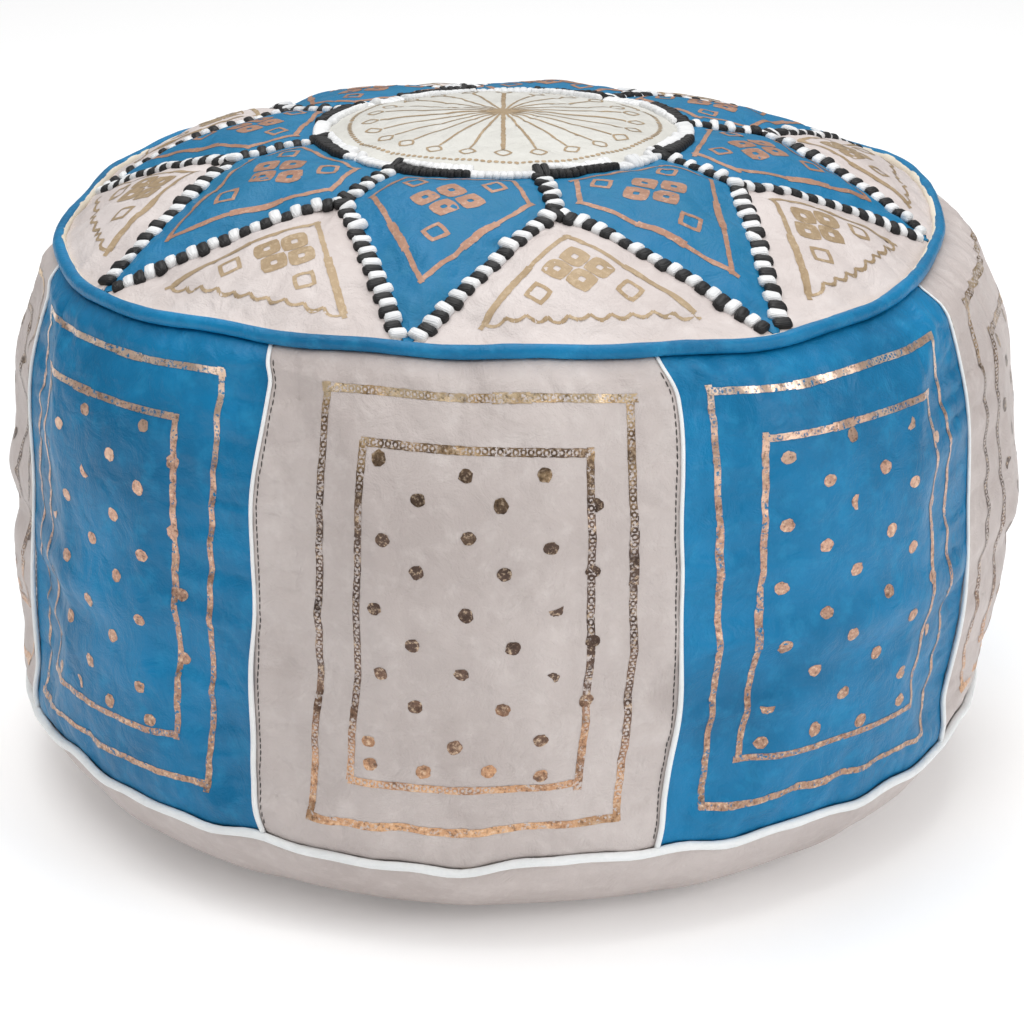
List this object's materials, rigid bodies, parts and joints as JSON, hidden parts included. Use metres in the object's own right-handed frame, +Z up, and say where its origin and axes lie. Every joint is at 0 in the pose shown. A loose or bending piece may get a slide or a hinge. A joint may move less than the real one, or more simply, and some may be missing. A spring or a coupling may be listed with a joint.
{
  "type": "leather floor pouf",
  "caption": "Round leather floor pouf or footstool: a laced star top over two-colour side panels with piped seams, and a base that opens with a zip to fill it.",
  "frame": {"origin": "centre of the base on the floor", "axes": "+Z up along the pouf's axis, -Y towards the front panel, +X to its right, along the zip"},
  "size_m": [0.5, 0.5, 0.333],
  "materials": {
    "blue_leather": "satin",
    "cream_leather": "satin",
    "white_leather": "satin",
    "black_lacing": "satin",
    "white_lacing": "satin",
    "piping_cord": "matte",
    "zip_tape": "matte",
    "zip_teeth": "satin",
    "zip_metal": "satin",
    "cotton_liner": "matte",
    "gold_foil": "satin",
    "wadding": "matte"
  },
  "bodies": {
    "pouf": {"medallion": "white_leather", "kite_1": "blue_leather", "kite_2": "blue_leather", "kite_3": "blue_leather", "kite_4": "blue_leather", "kite_5": "blue_leather", "kite_6": "blue_leather", "kite_7": "blue_leather", "kite_8": "blue_leather", "triangle_1": "cream_leather", "triangle_2": "cream_leather", "triangle_3": "cream_leather", "triangle_4": "cream_leather", "triangle_5": "cream_leather", "triangle_6": "cream_leather", "triangle_7": "cream_leather", "triangle_8": "cream_leather", "kite_lacing_1": "black_lacing", "kite_lacing_2": "black_lacing", "kite_lacing_3": "black_lacing", "kite_lacing_4": "black_lacing", "kite_lacing_5": "black_lacing", "kite_lacing_6": "black_lacing", "kite_lacing_7": "black_lacing", "kite_lacing_8": "black_lacing", "radial_lacing": "black_lacing", "medallion_edging_white": "white_lacing", "medallion_edging_black": "black_lacing", "side_panel_1": "cream_leather", "side_panel_2": "blue_leather", "side_panel_3": "cream_leather", "side_panel_4": "blue_leather", "side_panel_5": "cream_leather", "side_panel_6": "blue_leather", "side_panel_7": "cream_leather", "side_panel_8": "blue_leather", "side_piping_1": "white_leather", "side_piping_2": "white_leather", "side_piping_3": "white_leather", "side_piping_4": "white_leather", "side_piping_5": "white_leather", "side_piping_6": "white_leather", "side_piping_7": "white_leather", "side_piping_8": "white_leather", "rim_piping": "blue_leather", "rim_piping_cord": "piping_cord", "base_piping": "white_leather", "base_piping_cord": "piping_cord", "base_front": "cream_leather", "base_back": "cream_leather", "zip_tape_front": "zip_tape", "zip_tape_back": "zip_tape", "zip_teeth_front": "zip_teeth", "zip_teeth_back": "zip_teeth", "zip_stops": "zip_metal", "liner_bag": "cotton_liner", "stuffing": "wadding"},
    "slider": {"zip_slider": "zip_metal"},
    "pull": {"zip_pull": "zip_metal"}
  },
  "joints": [
    {"name": "zip_slide", "type": "slide", "parent": "pouf", "child": "slider", "axis": [-1, 0, 0], "range_m": [0, 0.255], "deforming": ["zip_teeth_front", "zip_teeth_back"]},
    {"name": "pull_hinge", "type": "hinge", "parent": "slider", "child": "pull", "pos_m": [0.12989, 0, 0.00635], "axis": [0, -1, 0], "range_deg": [0, 170]}
  ]
}
